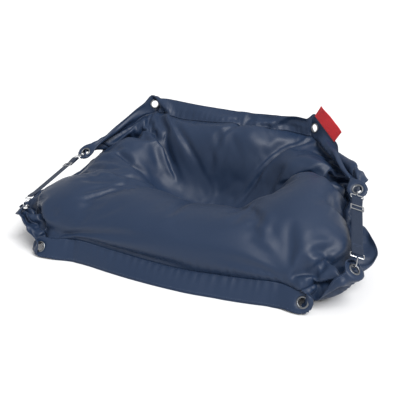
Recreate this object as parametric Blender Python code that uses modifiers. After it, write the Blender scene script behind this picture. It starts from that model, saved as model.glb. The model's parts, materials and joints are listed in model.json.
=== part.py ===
"""Large rectangular bean bag that two corner straps pull up into a love-seat.

Metres, +Z up. The origin is on the floor, under the middle of the bounding box; +X is the sitter's
left-to-right, and -Y is the front. A padded rectangle, 1.70 x 1.20 m when flat, has a stitched hem
100 mm wide all round it. On each side a webbing strap with two wire hooks joins the eyelets of the
front and back hem corners, so the back stands up and its ends wrap round into two arms.
"""
import math

import bmesh
import bpy
from mathutils import Matrix, Vector

# ---- driving dimensions -------------------------------------------------------------------------
FABRIC = 0.0006            # coated cover fabric
COVER_GAP = 0.0008         # from the bead filling to the cover
COVER_INSET = 0.001        # each panel's edge from the seam
GAP = 0.0004               # clearance between other pieces that touch
HEM_WIDTH = 0.098          # stitched flat hem, seam to edge
HEM_THICKNESS = 0.003      # both layers and the folded edge
SEAM_GAP = 0.004           # from the padded body's seam to the hem's inner edge
SMOOTHING = 1              # subdivision of the padded body

EYELET_HOLE_R = 0.019
EYELET_FLANGE_R = 0.026
EYELET_BARREL_R = 0.0204
EYELET_BORE_IN_HEM_R = 0.0209
RING_STEPS = 20

FRONT_EYELET = Vector((0.806, -0.385, 0.180))
FRONT_EYELET_AXIS = Vector((0.60, -0.22, 0.77)).normalized()
FRONT_CORNER_WAY = Vector((-0.58, 0.545, 0.61)).normalized()
BACK_EYELET = Vector((0.715, 0.045, 0.358))
BACK_EYELET_AXIS = Vector((0.03, -0.66, 0.75)).normalized()
BACK_CORNER_WAY = Vector((-0.222, -0.737, -0.64)).normalized()
CORNER_HALF_DIAGONAL = HEM_WIDTH / math.sqrt(2)

FREE_EYELET_X = 0.635      # on the front hem, 0.42 m along the edge from the corner
FRONT_EDGE_Y = -0.510
FRONT_SEAM = (-0.460, 0.088)

WIRE_R = 0.0025            # hook wire
HOOK_BEND_R = 0.014        # U of the hook, round the eyelet's rim
HOOK_BEND_CENTRE = 0.0255  # from the eyelet's centre, so the wire stands clear of the rim
HOOK_REACH = 0.075         # eyelet centre to the bar that holds the webbing
HOOK_LOOP_LENGTH = 0.020
HOOK_LOOP_WIDTH = 0.058    # centre to centre of the loop's sides
WEBBING_WIDTH = 0.050
WEBBING_THICKNESS = 0.002
ADJUSTER_FROM_UPPER_BAR = 0.062
ADJUSTER_WIDTH = 0.062
ADJUSTER_LENGTH = 0.028
ADJUSTER_BAR = 0.004
STRAP_LEAN = {"right": 24.0, "left": -20.0}   # degrees the webbing is rolled about its length

LABEL_LENGTH = 0.185
LABEL_WIDTH = 0.062
LABEL_THICKNESS = 0.0014

ZIP_LENGTH = 0.44
ZIP_TAPE_WIDTH = 0.030
ZIP_CHAIN_WIDTH = 0.006
ZIP_HEIGHT = 0.27

NAVY = (0.030, 0.055, 0.110)
DARK_NAVY = (0.012, 0.024, 0.055)
RED = (0.62, 0.02, 0.03)
STEEL = (0.72, 0.72, 0.73)
BEAD_WHITE = (0.90, 0.90, 0.88)

# ---- padded body: hand-set cage, right half; each column lists (y, z) from front seam to back seam
COLUMN_X = (0.0, 0.24, 0.44, 0.58, 0.675)
TOP_PROFILES = (
    ((-0.480, 0.190), (-0.385, 0.295), (-0.170, 0.235), (0.020, 0.185), (0.180, 0.275), (0.320, 0.425)),
    ((-0.480, 0.195), (-0.380, 0.310), (-0.165, 0.250), (0.020, 0.200), (0.180, 0.290), (0.320, 0.430)),
    ((-0.475, 0.195), (-0.370, 0.315), (-0.165, 0.295), (0.000, 0.280), (0.150, 0.335), (0.285, 0.415)),
    ((-0.465, 0.190), (-0.360, 0.285), (-0.180, 0.300), (-0.010, 0.310), (0.120, 0.340), (0.210, 0.370)),
    ((-0.440, 0.165), (-0.340, 0.215), (-0.200, 0.240), (-0.060, 0.260), (0.050, 0.290), (0.120, 0.330)),
)
BOTTOM_PROFILES = (
    ((-0.380, 0.0), (-0.180, 0.0), (0.020, 0.0), (0.230, 0.0), (0.400, 0.080), (0.465, 0.290)),
    ((-0.380, 0.0), (-0.180, 0.0), (0.020, 0.0), (0.230, 0.0), (0.400, 0.080), (0.465, 0.290)),
    ((-0.380, 0.0), (-0.180, 0.0), (0.020, 0.0), (0.230, 0.0), (0.400, 0.080), (0.460, 0.280)),
    ((-0.380, 0.0), (-0.180, 0.0), (0.010, 0.0), (0.200, 0.010), (0.340, 0.110), (0.370, 0.270)),
    ((-0.390, 0.040), (-0.260, 0.050), (-0.100, 0.070), (0.060, 0.100), (0.200, 0.170), (0.230, 0.290)),
)
FRONT_SEAM_POINTS = (FRONT_SEAM, FRONT_SEAM, FRONT_SEAM, FRONT_SEAM, (-0.452, 0.095))
BACK_SEAM_POINTS = ((0.420, 0.505), (0.422, 0.505), (0.395, 0.465), (0.290, 0.410), (0.180, 0.405))
LEFT_TIP_SEAM = (-0.440, 0.415, 0.520)
SIDE_SEAM = (
    (0.839, -0.420, 0.136), (0.798, -0.340, 0.128), (0.770, -0.230, 0.150), (0.752, -0.110, 0.180),
    (0.745, 0.020, 0.220), (0.738, 0.110, 0.268), (0.738, 0.142, 0.336), (0.729, 0.104, 0.397),
)

# ---- hem: right-hand stations as (inner point, outer point)
FRONT_HEM_TURN = (
    ((0.775, -0.456, 0.100), (0.750, -0.513, 0.075)),
    ((0.825, -0.446, 0.116), (0.748, -0.498, 0.150)),
)
SIDE_HEM = (
    ((0.852, -0.412, 0.134), (0.905, -0.420, 0.118)),
    ((0.820, -0.345, 0.124), (0.915, -0.362, 0.104)),
    ((0.785, -0.235, 0.144), (0.872, -0.270, 0.085)),
    ((0.768, -0.110, 0.172), (0.852, -0.120, 0.100)),
    ((0.760, 0.020, 0.206), (0.837, 0.030, 0.130)),
    ((0.757, 0.120, 0.250), (0.842, 0.155, 0.188)),
    ((0.757, 0.152, 0.320), (0.850, 0.165, 0.296)),
)
BACK_HEM_MIDDLE = (
    ((-0.240, 0.424, 0.512), (-0.240, 0.372, 0.592)),
    ((0.000, 0.424, 0.512), (0.000, 0.365, 0.590)),
    ((0.220, 0.426, 0.512), (0.215, 0.372, 0.590)),
)
RIGHT_TIP = Vector((0.415, 0.410, 0.585))
RIGHT_TIP_EDGE = Vector((0.689, -0.4905, -0.5315)).normalized()
RIGHT_TIP_ACROSS = Vector((0.5305, -0.2224, 0.8096))
LEFT_TIP = Vector((-0.500, 0.405, 0.625))
LEFT_TIP_EDGE = Vector((-0.480, -0.500, -0.720)).normalized()
LEFT_TIP_ACROSS = Vector((-0.304, -0.200, 0.931))
TIP_PATCH = 0.074
BACK_HEM_RIGHT_ARM = (
    ((0.585, 0.296, 0.430), (0.545, 0.215, 0.460)),
    ((0.668, 0.190, 0.420), (0.594, 0.130, 0.413)),
)
BACK_HEM_LEFT_ARM = (
    ((-0.585, 0.300, 0.440), (-0.575, 0.235, 0.508)),
    ((-0.668, 0.190, 0.425), (-0.610, 0.125, 0.425)),
)


# ---- small helpers --------------------------------------------------------------------------------
def clear_scene():
    for obj in list(bpy.data.objects):
        bpy.data.objects.remove(obj)


def make_collection(name):
    collection = bpy.data.collections.new(name)
    bpy.context.scene.collection.children.link(collection)
    return collection


def make_material(name, colour, roughness, metallic=0.0):
    material = bpy.data.materials.new(name)
    material.use_nodes = True
    shader = material.node_tree.nodes["Principled BSDF"]
    shader.inputs["Base Color"].default_value = (*colour, 1.0)
    shader.inputs["Roughness"].default_value = roughness
    shader.inputs["Metallic"].default_value = metallic
    material.diffuse_color = (*colour, 1.0)
    return material


def add_object(name, mesh, collection, material):
    obj = bpy.data.objects.new(name, mesh)
    collection.objects.link(obj)
    mesh.materials.clear()
    mesh.materials.append(material)
    return obj


def mesh_from_bmesh(name, bm, sharp_angle=40.0):
    bmesh.ops.recalc_face_normals(bm, faces=bm.faces)
    mesh = bpy.data.meshes.new(name)
    bm.to_mesh(mesh)
    bm.free()
    mesh.shade_smooth()
    mesh.set_sharp_from_angle(angle=math.radians(sharp_angle))
    return mesh


def frame_matrix(origin, x_axis, y_axis, z_axis):
    rows = [(x_axis[i], y_axis[i], z_axis[i], origin[i]) for i in range(3)]
    return Matrix((*rows, (0.0, 0.0, 0.0, 1.0)))


def frame_on_axis(origin, z_axis, x_hint):
    x_axis = (x_hint - z_axis * x_hint.dot(z_axis)).normalized()
    return frame_matrix(origin, x_axis, z_axis.cross(x_axis), z_axis)


def mirrored(point):
    return Vector((-point[0], point[1], point[2]))


def on_side(point, side):
    return Vector(point) if side == "right" else mirrored(point)


def evaluated_mesh(obj):
    bpy.context.view_layer.update()
    return bpy.data.meshes.new_from_object(obj.evaluated_get(bpy.context.evaluated_depsgraph_get()))


# ---- padded body ----------------------------------------------------------------------------------
def column_points(column):
    """One column of the cage, front seam to back seam: its top points and its bottom points."""
    x = COLUMN_X[column]
    front = (x, *FRONT_SEAM_POINTS[column])
    back = (x, *BACK_SEAM_POINTS[column])
    lift = FABRIC + COVER_GAP
    top = [front, *((x, y, z) for y, z in TOP_PROFILES[column]), back]
    bottom = [front, *((x, y, z + lift) for y, z in BOTTOM_PROFILES[column]), back]
    return top, bottom


def body_cage():
    """Closed cage in the shape of the flat pattern: a top grid and a bottom grid that share the seam."""
    columns = [column_points(k) for k in range(len(COLUMN_X))]
    columns.append((SIDE_SEAM, SIDE_SEAM))
    last = len(columns) - 1
    back = len(SIDE_SEAM) - 1
    bm = bmesh.new()
    half = bm.faces.layers.int.new("half")
    crease = bm.edges.layers.float.new("crease_edge")
    pinch = bm.verts.layers.float.new("crease_vert")
    made = {}

    def vertex(layer, row, column):
        if row in (0, back) or abs(column) == last:
            layer = 0
        key = (layer, row, column)
        if key not in made:
            x, y, z = columns[abs(column)][layer][row]
            made[key] = bm.verts.new((math.copysign(x, column) if column else 0.0, y, z))
        return made[key]

    for layer in (0, 1):
        for column in range(-last, last):
            for row in range(back):
                corners = [(row, column), (row, column + 1), (row + 1, column + 1), (row + 1, column)]
                face = bm.faces.new([vertex(layer, r, c) for r, c in corners])
                face[half] = layer
    for edge in bm.edges:
        if {face[half] for face in edge.link_faces} == {0, 1}:
            edge[crease] = 1.0
    made[0, back, -2].co = LEFT_TIP_SEAM
    for row in (0, back):
        made[0, row, last][pinch] = 1.0
        made[0, row, -last][pinch] = 1.0
    return mesh_from_bmesh("body_cage", bm)


def panel_shell(name, body_mesh, layer, collection, material):
    """The cover over one half of the body: its surface, lifted by the gap and given the fabric's thickness."""
    bm = bmesh.new()
    bm.from_mesh(body_mesh)
    half = bm.faces.layers.int["half"]
    other_half = [face for face in bm.faces if face[half] != layer]
    bmesh.ops.delete(bm, geom=other_half, context="FACES")
    bm.normal_update()
    lifted = [(vertex, vertex.co + vertex.normal * COVER_GAP) for vertex in bm.verts]
    for vertex, place in lifted:
        vertex.co = place
    rim = [vertex for vertex in bm.verts if any(edge.is_boundary for edge in vertex.link_edges)]
    moved = []
    for vertex in rim:
        inward = [e.other_vert(vertex) for e in vertex.link_edges if not e.is_boundary]
        inward = inward or [face.calc_center_median() for face in vertex.link_faces]
        target = inward[0].co if hasattr(inward[0], "co") else inward[0]
        moved.append((vertex, vertex.co + (target - vertex.co).normalized() * COVER_INSET))
    for vertex, place in moved:
        vertex.co = place
    mesh = bpy.data.meshes.new(name)
    bm.to_mesh(mesh)
    bm.free()
    mesh.shade_smooth()
    obj = add_object(name, mesh, collection, material)
    solidify = obj.modifiers.new("fabric", "SOLIDIFY")
    solidify.thickness = FABRIC
    solidify.offset = 1.0
    return obj


def triangulated(name, mesh):
    """The mesh in triangles; a face at a pinched corner is split from the corner, so it can't fold flat."""
    bm = bmesh.new()
    bm.from_mesh(mesh)
    for vertex in [vertex for vertex in bm.verts if len(vertex.link_edges) == 2]:
        for face in list(vertex.link_faces):
            opposite = [v for v in face.verts if v is not vertex and not vertex_linked(v, vertex)][0]
            bmesh.utils.face_split(face, vertex, opposite)
    bmesh.ops.triangulate(bm, faces=bm.faces)
    bm.to_mesh(mesh)
    bm.free()
    mesh.name = name
    mesh.shade_smooth()
    return mesh


def vertex_linked(a, b):
    return any(edge.other_vert(a) is b for edge in a.link_edges)


def build_body(collection, materials):
    cage = add_object("body_cage", body_cage(), collection, materials["beads"])
    subdivision = cage.modifiers.new("smooth", "SUBSURF")
    subdivision.levels = SMOOTHING
    subdivision.render_levels = SMOOTHING
    body = triangulated("bean_filling", evaluated_mesh(cage))
    bpy.data.objects.remove(cage)
    panel_shell("top_panel", body, 0, collection, materials["fabric"])
    bottom = panel_shell("bottom_panel", body, 1, collection, materials["fabric"])
    add_object("bean_filling", body, collection, materials["beads"])
    return bottom


# ---- hem ------------------------------------------------------------------------------------------
def strip_mesh(name, stations):
    """A flat strip of the hem's thickness through stations of (inner point, outer point)."""
    points = [(Vector(inner), Vector(outer)) for inner, outer in stations]
    count = len(points)
    bm = bmesh.new()
    rings = []
    for i, (inner, outer) in enumerate(points):
        before = points[max(i - 1, 0)]
        after = points[min(i + 1, count - 1)]
        along = (after[0] + after[1]) - (before[0] + before[1])
        normal = along.cross(outer - inner).normalized() * (HEM_THICKNESS / 2)
        corners = (inner + normal, outer + normal, outer - normal, inner - normal)
        rings.append([bm.verts.new(corner) for corner in corners])
    for a, b in zip(rings, rings[1:]):
        # both faces fold along the same, shorter diagonal, so a twisted stretch keeps its thickness
        inner_first = (a[0].co - b[1].co).length < (a[1].co - b[0].co).length
        for first, second in ((0, 1), (3, 2)):
            if inner_first:
                bm.faces.new((a[first], a[second], b[second]))
                bm.faces.new((a[first], b[second], b[first]))
            else:
                bm.faces.new((a[first], a[second], b[first]))
                bm.faces.new((a[second], b[second], b[first]))
        bm.faces.new((a[1], a[2], b[2], b[1]))
        bm.faces.new((a[3], a[0], b[0], b[3]))
    bm.faces.new(rings[0])
    bm.faces.new(rings[-1])
    return mesh_from_bmesh(name, bm)


def corner_square(eyelet, axis, way):
    """The square corner of the hem round an eyelet: seam corner, outer tip and the two edge points."""
    sideways = axis.cross(way)
    inner = eyelet - way * CORNER_HALF_DIAGONAL
    tip = eyelet + way * CORNER_HALF_DIAGONAL
    return inner, tip, eyelet + sideways * CORNER_HALF_DIAGONAL, eyelet - sideways * CORNER_HALF_DIAGONAL


def cut_hole(obj, centre, axis, cutters):
    bpy.ops.mesh.primitive_cylinder_add(vertices=RING_STEPS, radius=EYELET_BORE_IN_HEM_R, depth=0.02)
    cutter = bpy.context.object
    cutter.name = "cut_" + obj.name
    cutter.matrix_world = frame_on_axis(centre, axis, Vector((0.0, 1.0, 0.3)))
    for collection in list(cutter.users_collection):
        collection.objects.unlink(cutter)
    cutters.objects.link(cutter)
    cutter.hide_render = True
    cutter.display_type = "WIRE"
    cut = obj.modifiers.new("hole", "BOOLEAN")
    cut.operation = "DIFFERENCE"
    cut.object = cutter


def front_hem_stations():
    seam_y, seam_z = FRONT_SEAM
    edge = Vector((0.0, FRONT_EDGE_Y - seam_y, 0.003 - seam_z)).normalized()
    inner, tip, near_front, near_side = corner_square(FRONT_EYELET, FRONT_EYELET_AXIS, FRONT_CORNER_WAY)
    half = []
    for x in (0.28, FREE_EYELET_X - 0.06, FREE_EYELET_X + 0.06):
        seam = Vector((x, seam_y, seam_z))
        half.append((seam + edge * SEAM_GAP, seam + edge * HEM_WIDTH))
    half += FRONT_HEM_TURN
    half.append((inner, near_front))
    half.append((near_side, tip))
    left = [(mirrored(a), mirrored(b)) for a, b in reversed(half)]
    return left + half


def tip_patch(tip, edge, across):
    """Two stations of the flat stretch that carries a free eyelet beside a tip of the back edge."""
    across = (across - edge * across.dot(edge)).normalized()
    start = (tip - across * (HEM_WIDTH - SEAM_GAP), tip)
    end = tuple(point + edge * TIP_PATCH for point in start)
    centre = tip + edge * (TIP_PATCH / 2) - across * (HEM_WIDTH / 2)
    return start, end, centre, edge.cross(across).normalized()


def back_hem_stations():
    inner, tip, long_edge, short_edge = corner_square(BACK_EYELET, BACK_EYELET_AXIS, BACK_CORNER_WAY)
    long_edge, short_edge = short_edge, long_edge
    corner = [(inner, long_edge), (short_edge, tip)]
    right_start, right_end, _, _ = tip_patch(RIGHT_TIP, RIGHT_TIP_EDGE, RIGHT_TIP_ACROSS)
    left_start, left_end, _, _ = tip_patch(LEFT_TIP, LEFT_TIP_EDGE, LEFT_TIP_ACROSS)
    left = [(mirrored(a), mirrored(b)) for a, b in reversed(corner)]
    left += [*reversed(BACK_HEM_LEFT_ARM), left_end, left_start]
    right = [right_start, right_end, *BACK_HEM_RIGHT_ARM, *corner]
    return left + list(BACK_HEM_MIDDLE) + right


def side_hem_stations():
    """From beside the front corner square, which the front hem owns, to beside the back one."""
    inner, _, side_edge, _ = corner_square(BACK_EYELET, BACK_EYELET_AXIS, BACK_CORNER_WAY)
    step = (Vector(SIDE_HEM[-1][0]) - inner).normalized() * 0.005
    return [*SIDE_HEM, (inner + step, side_edge + step)]


def build_hem(collection, cutters, material):
    front = add_object("front_hem", strip_mesh("front_hem", front_hem_stations()), collection, material)
    back = add_object("back_hem", strip_mesh("back_hem", back_hem_stations()), collection, material)
    right = side_hem_stations()
    left = [(mirrored(a), mirrored(b)) for a, b in right]
    add_object("right_hem", strip_mesh("right_hem", right), collection, material)
    add_object("left_hem", strip_mesh("left_hem", left), collection, material)
    for name, centre, axis in eyelet_places():
        cut_hole(front if "front" in name else back, centre, axis, cutters)


# ---- eyelets --------------------------------------------------------------------------------------
def eyelet_places():
    """Every eyelet: name, centre and the way its face looks."""
    seam_y, seam_z = FRONT_SEAM
    edge = Vector((0.0, FRONT_EDGE_Y - seam_y, 0.003 - seam_z)).normalized()
    free_axis = Vector((0.0, edge.z, -edge.y))
    places = []
    for side in ("left", "right"):
        places.append(("front_%s_corner" % side, on_side(FRONT_EYELET, side), on_side(FRONT_EYELET_AXIS, side)))
        places.append(("back_%s_corner" % side, on_side(BACK_EYELET, side), on_side(BACK_EYELET_AXIS, side)))
        free = on_side((FREE_EYELET_X, seam_y, seam_z), side) + edge * (HEM_WIDTH / 2)
        places.append(("front_%s_free" % side, free, free_axis))
    _, _, centre, axis = tip_patch(RIGHT_TIP, RIGHT_TIP_EDGE, RIGHT_TIP_ACROSS)
    places.append(("back_right_free", centre, axis))
    _, _, centre, axis = tip_patch(LEFT_TIP, LEFT_TIP_EDGE, LEFT_TIP_ACROSS)
    places.append(("back_left_free", centre, axis if axis.y < 0 else -axis))
    return places


def turned_mesh(name, profile):
    """A ring: a closed profile of (radius, height), down its outer side, turned about Z."""
    bm = bmesh.new()
    loop = [bm.verts.new((radius, 0.0, height)) for radius, height in profile]
    for a, b in zip(loop, loop[1:] + loop[:1]):
        bm.edges.new((a, b))
    mesh = bpy.data.meshes.new(name)
    bm.to_mesh(mesh)
    bm.free()
    obj = bpy.data.objects.new(name, mesh)
    bpy.context.scene.collection.objects.link(obj)
    screw = obj.modifiers.new("turn", "SCREW")
    screw.steps = RING_STEPS
    screw.render_steps = RING_STEPS
    screw.use_merge_vertices = True
    screw.merge_threshold = 0.00001
    turned = evaluated_mesh(obj)
    bpy.data.objects.remove(obj)
    bm = bmesh.new()
    bm.from_mesh(turned)
    bmesh.ops.remove_doubles(bm, verts=bm.verts, dist=0.00001)
    return mesh_from_bmesh(name, bm)


def build_eyelets(collection, materials):
    face = HEM_THICKNESS / 2 + GAP
    ring = turned_mesh("eyelet_ring", (
        (EYELET_BARREL_R, face + 0.0022), (EYELET_FLANGE_R - 0.002, face + 0.0018),
        (EYELET_FLANGE_R, face), (EYELET_BARREL_R, face),
        (EYELET_BARREL_R, -face - 0.0014), (EYELET_HOLE_R, -face - 0.0014), (EYELET_HOLE_R, face + 0.0014),
    ))
    washer = turned_mesh("eyelet_washer", (
        (EYELET_BARREL_R + 0.0005, -face), (EYELET_FLANGE_R, -face),
        (EYELET_FLANGE_R - 0.001, -face - 0.0012), (EYELET_BARREL_R + 0.0005, -face - 0.0012),
    ))
    for name, centre, axis in eyelet_places():
        place = frame_on_axis(centre, axis, Vector((0.0, 1.0, 0.3)))
        for prefix, mesh in (("eyelet_", ring), ("washer_", washer)):
            obj = add_object(prefix + name, mesh.copy(), collection, materials["steel"])
            obj.matrix_world = place


# ---- straps ---------------------------------------------------------------------------------------
class Strap:
    """The straight line between two hooked eyelets, and the frames of the webbing and its hooks."""

    def __init__(self, side):
        self.side = side
        self.front = on_side(FRONT_EYELET, side)
        self.back = on_side(BACK_EYELET, side)
        self.front_axis = on_side(FRONT_EYELET_AXIS, side)
        self.back_axis = on_side(BACK_EYELET_AXIS, side)
        pull = (self.back - self.front).normalized()
        self.lower_bar = self.front + pull * HOOK_REACH + square_to(self.front_axis, pull) * HOOK_BEND_R
        self.upper_bar = self.back - pull * HOOK_REACH + square_to(self.back_axis, pull) * HOOK_BEND_R
        self.along = (self.upper_bar - self.lower_bar).normalized()
        self.length = (self.upper_bar - self.lower_bar).length
        level = square_to(Vector((0.0, -0.35, 0.93)), self.along)
        lean = Matrix.Rotation(math.radians(STRAP_LEAN[side]), 3, self.along)
        self.face = (lean @ level).normalized()
        self.width = self.along.cross(self.face)

    def point(self, s, h, w=0.0):
        return self.lower_bar + self.along * s + self.face * h + self.width * w


def square_to(vector, axis):
    return (vector - axis * vector.dot(axis)).normalized()


def arc(centre, start, end, radius, steps):
    """Points on an arc in a plane of (u, v), from the start angle to the end angle in degrees."""
    points = []
    for i in range(steps + 1):
        angle = math.radians(start + (end - start) * i / steps)
        points.append((centre[0] + radius * math.cos(angle), centre[1] + radius * math.sin(angle)))
    return points


def wire_object(name, points, collection, material):
    curve = bpy.data.curves.new(name, "CURVE")
    curve.dimensions = "3D"
    curve.bevel_depth = WIRE_R
    curve.bevel_resolution = 2
    curve.use_fill_caps = True
    spline = curve.splines.new("POLY")
    spline.points.add(len(points) - 1)
    for target, point in zip(spline.points, points):
        target.co = (*point, 1.0)
    obj = bpy.data.objects.new(name, curve)
    collection.objects.link(obj)
    curve.materials.append(material)
    return obj


def hook_points(strap, eyelet, axis, bar, towards):
    """Hook wire: tip behind the hem, U through the eyelet, shank, then the loop round the webbing."""
    pull = square_to(towards, axis)
    bend = HOOK_BEND_R
    points = [eyelet + pull * (HOOK_BEND_CENTRE + 0.008) - axis * bend]
    for p, n in arc((HOOK_BEND_CENTRE, 0.0), -90, -270, bend, 8):
        points.append(eyelet + pull * p + axis * n)
    half = HOOK_LOOP_WIDTH / 2
    corner = 0.005
    near = bar - towards * HOOK_LOOP_LENGTH
    width = strap.width
    points.append(near - towards * 0.008 + width * 0.001)
    outline = [(0.0, 0.004)]
    outline += [(0.0, half - corner)]
    outline += arc((corner, half - corner), 180, 90, corner, 3)[1:]
    outline += arc((HOOK_LOOP_LENGTH - corner, half - corner), 90, 0, corner, 3)
    outline += arc((HOOK_LOOP_LENGTH - corner, corner - half), 0, -90, corner, 3)
    outline += arc((corner, corner - half), -90, -180, corner, 3)
    outline += [(0.0, -0.0045)]
    points += [near + towards * p + width * w for p, w in outline]
    return points


def ribbon_mesh(name, strap, path):
    """Flat webbing along a path of (distance along the strap, height over its line)."""
    half_width = strap.width * (WEBBING_WIDTH / 2)
    bm = bmesh.new()
    rings = []
    for i, (s, h) in enumerate(path):
        s0, h0 = path[max(i - 1, 0)]
        s1, h1 = path[min(i + 1, len(path) - 1)]
        ds, dh = s1 - s0, h1 - h0
        size = math.hypot(ds, dh)
        offset_s = -dh / size * WEBBING_THICKNESS / 2
        offset_h = ds / size * WEBBING_THICKNESS / 2
        over = strap.point(s + offset_s, h + offset_h)
        under = strap.point(s - offset_s, h - offset_h)
        corners = (over + half_width, over - half_width, under - half_width, under + half_width)
        rings.append([bm.verts.new(corner) for corner in corners])
    for a, b in zip(rings, rings[1:]):
        for k in range(4):
            bm.faces.new((a[k], a[(k + 1) % 4], b[(k + 1) % 4], b[k]))
    bm.faces.new(rings[0])
    bm.faces.new(rings[-1])
    return mesh_from_bmesh(name, bm)


def webbing_path(strap):
    wrap = WIRE_R + 0.0005 + WEBBING_THICKNESS / 2
    length = strap.length
    adjuster = length - ADJUSTER_FROM_UPPER_BAR
    path = [(0.052, -0.0026), (0.020, -0.0032)]
    path += arc((0.0, 0.0), -90, -270, wrap, 8)
    path += [(0.020, 0.0022), (0.036, 0.0)]
    path += [(length - 0.036, 0.0), (length - 0.020, 0.0022)]
    path += arc((length, 0.0), 90, -90, wrap, 8)
    path += [(length - 0.020, -0.0050), (adjuster + ADJUSTER_LENGTH / 2 + 0.006, -0.0052)]
    return path


def box_at(name, size, matrix):
    bm = bmesh.new()
    bmesh.ops.create_cube(bm, size=1.0, matrix=matrix @ Matrix.Diagonal((*size, 1.0)))
    return mesh_from_bmesh(name, bm)


def helper(obj, cutters):
    cutters.objects.link(obj)
    obj.hide_render = True
    obj.display_type = "WIRE"
    return obj


def build_adjuster(strap, name, collection, cutters, material):
    """Three-bar slide: a flat frame over the webbing and a cranked middle bar under it."""
    at = strap.length - ADJUSTER_FROM_UPPER_BAR
    over = WEBBING_THICKNESS / 2 + GAP + 0.0015
    place = frame_matrix(strap.point(at, over), strap.width, strap.along, strap.width.cross(strap.along))
    frame = add_object(name, box_at(name, (ADJUSTER_WIDTH, ADJUSTER_LENGTH, 0.003), place), collection, material)
    inside = (ADJUSTER_WIDTH - 2 * ADJUSTER_BAR, ADJUSTER_LENGTH - 2 * ADJUSTER_BAR, 0.010)
    hole = helper(bpy.data.objects.new("cut_" + name, box_at("cut_" + name, inside, place)), cutters)
    cut = frame.modifiers.new("window", "BOOLEAN")
    cut.operation = "DIFFERENCE"
    cut.object = hole
    drop = 2 * over
    face = 1.0 if place.col[2].to_3d().dot(strap.face) > 0 else -1.0
    riser_x = (ADJUSTER_WIDTH - ADJUSTER_BAR) / 2
    pieces = [((ADJUSTER_WIDTH, ADJUSTER_BAR, 0.003), (0.0, 0.0, -drop * face))]
    for x in (-riser_x, riser_x):
        pieces.append(((ADJUSTER_BAR - 0.0004, ADJUSTER_BAR - 0.0004, drop + 0.001), (x, 0.0, -drop / 2 * face)))
    for i, (size, shift) in enumerate(pieces):
        mesh = box_at("join_%s_%d" % (name, i), size, place @ Matrix.Translation(shift))
        part = helper(bpy.data.objects.new(mesh.name, mesh), cutters)
        join = frame.modifiers.new("join_%d" % i, "BOOLEAN")
        join.operation = "UNION"
        join.object = part
    return frame


def build_strap(side, collection, cutters, materials):
    strap = Strap(side)
    steel = materials["steel"]
    lower = hook_points(strap, strap.front, strap.front_axis, strap.lower_bar, strap.along)
    upper = hook_points(strap, strap.back, strap.back_axis, strap.upper_bar, -strap.along)
    wire_object("%s_lower_hook" % side, lower, collection, steel)
    wire_object("%s_upper_hook" % side, upper, collection, steel)
    name = "%s_strap_webbing" % side
    add_object(name, ribbon_mesh(name, strap, webbing_path(strap)), collection, materials["webbing"])
    build_adjuster(strap, "%s_strap_adjuster" % side, collection, cutters, steel)


# ---- label and zip --------------------------------------------------------------------------------
def build_label(collection, material):
    """Plain woven tab sewn to the back edge, below the right-hand tip."""
    start, _, _, _ = tip_patch(RIGHT_TIP, RIGHT_TIP_EDGE, RIGHT_TIP_ACROSS)
    across = (RIGHT_TIP - start[0]).normalized()
    normal = RIGHT_TIP_EDGE.cross(across)
    centre = RIGHT_TIP + RIGHT_TIP_EDGE * (LABEL_LENGTH / 2 - 0.004) + across * (LABEL_WIDTH / 2 + 0.0015)
    place = frame_matrix(centre, RIGHT_TIP_EDGE, across, normal)
    add_object("label_tab", box_at("label_tab", (LABEL_LENGTH, LABEL_WIDTH, LABEL_THICKNESS), place),
               collection, material)


def build_zip(bottom_panel, collection, materials):
    """Zip across the back of the bottom panel: tape, chain and a slider with no pull tab."""
    bpy.context.view_layer.update()
    shell = bottom_panel.evaluated_get(bpy.context.evaluated_depsgraph_get())
    _, spot, normal, _ = shell.ray_cast(Vector((0.01, 2.0, ZIP_HEIGHT)), Vector((0.0, -1.0, 0.0)))
    spot.x = 0.0
    normal = Vector((0.0, normal.y, normal.z)).normalized()
    upward = normal.cross(Vector((1.0, 0.0, 0.0)))

    def layer(name, size, height, x, material):
        place = frame_matrix(spot + normal * height + Vector((x, 0.0, 0.0)), Vector((1.0, 0.0, 0.0)), -upward, normal)
        return add_object(name, box_at(name, size, place), collection, material)

    layer("zip_tape", (ZIP_LENGTH + 0.02, ZIP_TAPE_WIDTH, 0.0008), 0.0008, 0.0, materials["webbing"])
    chain = layer("zip_chain", (ZIP_LENGTH, ZIP_CHAIN_WIDTH, 0.0016), 0.0024, 0.0, materials["webbing"])
    slider = layer("zip_slider", (0.012, 0.010, 0.0035), 0.0056, ZIP_LENGTH / 2 - 0.008, materials["steel"])
    for obj, width in ((chain, 0.0004), (slider, 0.001)):
        bevel = obj.modifiers.new("edges", "BEVEL")
        bevel.width = width
        bevel.segments = 2


def build_model():
    clear_scene()
    collection = make_collection("strap_love_seat_bean_bag")
    cutters = make_collection("cutters")
    materials = {
        "fabric": make_material("navy_coated_fabric", NAVY, 0.45),
        "webbing": make_material("navy_webbing", DARK_NAVY, 0.70),
        "label": make_material("red_woven_label", RED, 0.60),
        "steel": make_material("bright_steel", STEEL, 0.25, 1.0),
        "beads": make_material("polystyrene_beads", BEAD_WHITE, 0.80),
    }
    bottom = build_body(collection, materials)
    build_hem(collection, cutters, materials["fabric"])
    build_eyelets(collection, materials)
    for side in ("left", "right"):
        build_strap(side, collection, cutters, materials)
    build_label(collection, materials["label"])
    build_zip(bottom, collection, materials)


build_model()
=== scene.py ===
"""The looks of the strap love-seat bean bag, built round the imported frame.

The cover is cut flat, as a top and a bottom panel sewn together inside a wide hem, and a cloth simulation
fills it, pulls its corners to the straps' hooks and presses the seat in. Seams, stitches, puckers and
webbing are then built as meshes, in metres, in the frame's own coordinates.
"""
import json
import math

import bmesh
import bpy
import numpy as np
from mathutils import Matrix, Vector, kdtree, noise


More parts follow.
